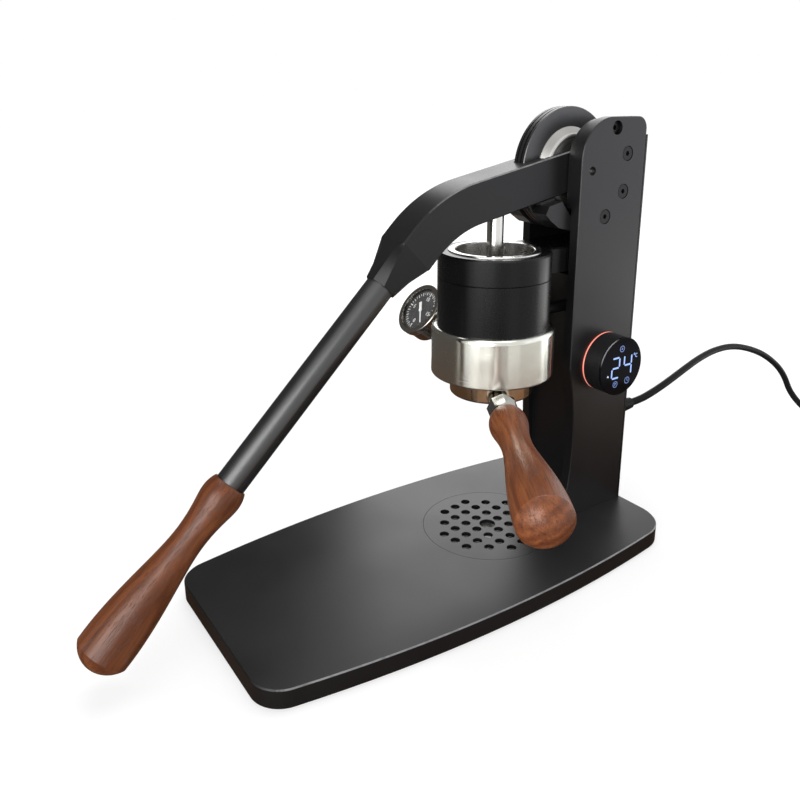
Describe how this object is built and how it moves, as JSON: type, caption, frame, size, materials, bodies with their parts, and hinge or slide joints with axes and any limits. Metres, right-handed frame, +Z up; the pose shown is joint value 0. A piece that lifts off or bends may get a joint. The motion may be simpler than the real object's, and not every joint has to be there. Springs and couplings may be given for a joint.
{
  "type": "lever espresso maker",
  "caption": "Lever espresso maker: black plate column on a bowed base, heated group with piston, bayonet portafilter, wood grips, pressure gauge, round temperature display and power cord.",
  "frame": {"origin": "on the resting surface, under the axis of the brew chamber", "axes": "+Z up along the brew chamber, -Y towards the lever's grip, +X towards the display"},
  "size_m": [0.271, 0.7672, 0.3336],
  "materials": {
    "black_coat": "satin black coat",
    "black_lever": "satin black coat with bright chamfers",
    "steel": "turned and polished stainless steel",
    "polished": "polished chrome",
    "black_steel": "black oxide fasteners",
    "wood": "oiled walnut",
    "rubber": "matt black rubber",
    "bronze": "plain bronze",
    "aluminium": "plain aluminium",
    "lens": "clear flat glass",
    "dial": "dark grey printed dial",
    "needle": "white painted pointer",
    "display": "gloss black display face",
    "light": "translucent light ring",
    "housing": "matt black plastic",
    "board": "green circuit board",
    "cord": "soft black cord"
  },
  "bodies": {
    "stand": {"base_plate": "black_coat", "base_pad": "rubber", "base_screws": "black_steel", "left_plate": "black_coat", "right_plate": "black_coat", "back_cover": "black_coat", "cover_screws": "black_steel", "front_panel": "black_coat", "group_bracket": "black_coat", "bracket_dowels": "steel", "left_bearing": "black_coat", "right_bearing": "black_coat", "plate_screws": "black_steel", "cap_screws": "black_steel", "pivot_axle": "steel", "left_stop": "black_coat", "right_stop": "black_coat", "stop_bumpers": "rubber", "brew_chamber": "steel", "heater_band": "aluminium", "heater_sleeve": "black_coat", "group_collar": "steel", "group_gasket": "rubber", "shower_screen": "steel", "heater_conduit": "black_coat", "gauge_stem": "bronze", "gauge_case": "polished", "gauge_dial": "dial", "gauge_bezel": "polished", "gauge_lens": "lens", "light_ring": "light", "display_housing": "housing", "display_glass": "display", "control_board": "board", "power_unit": "housing", "cable_gland": "housing", "power_cord": "cord", "cord_coil": "cord", "cord_tie": "housing", "plug_body": "housing", "plug_pins": "polished", "drip_cup": "steel"},
    "lever": {"lever_arm": "black_lever", "pivot_wheel": "black_lever", "left_hub": "steel", "right_hub": "steel", "pivot_bushes": "bronze", "rod_pin": "steel", "lever_tube": "black_lever", "lever_grip": "wood"},
    "piston": {"piston_rod": "steel", "piston_head": "steel", "piston_seals": "rubber"},
    "portafilter": {"portafilter_body": "polished", "portafilter_neck": "polished", "portafilter_grip": "wood", "filter_basket": "steel"},
    "drip_grille_body": {"drip_grille": "black_coat"},
    "needle": {"gauge_needle": "needle"}
  },
  "joints": [
    {"name": "lever_swing", "type": "hinge", "parent": "stand", "child": "lever", "pos_m": [0, 0.0634, 0.2896], "axis": [-1, 0, 0], "range_deg": [0, 38]},
    {"name": "piston_slide", "type": "slide", "parent": "stand", "child": "piston", "axis": [0, 0, 1], "range_m": [0, 0.0418]},
    {"name": "portafilter_twist", "type": "hinge", "parent": "stand", "child": "portafilter", "pos_m": [0, 0, 0.145], "axis": [0, 0, -1], "range_deg": [0, 45]},
    {"name": "drip_grille_lift", "type": "slide", "parent": "stand", "child": "drip_grille_body", "axis": [0, 0, 1], "range_m": [0, 0.025]},
    {"name": "needle_turn", "type": "hinge", "parent": "stand", "child": "needle", "pos_m": [-0.06777, -0.0197, 0.18041], "axis": [0, 0.7997, -0.6004], "range_deg": [0, 315], "stiffness_Nm_per_rad": 0.0005}
  ],
  "couplings": [
    {"joint": "piston_slide", "follows": "lever_swing", "m_per_rad": 0.062903}
  ]
}
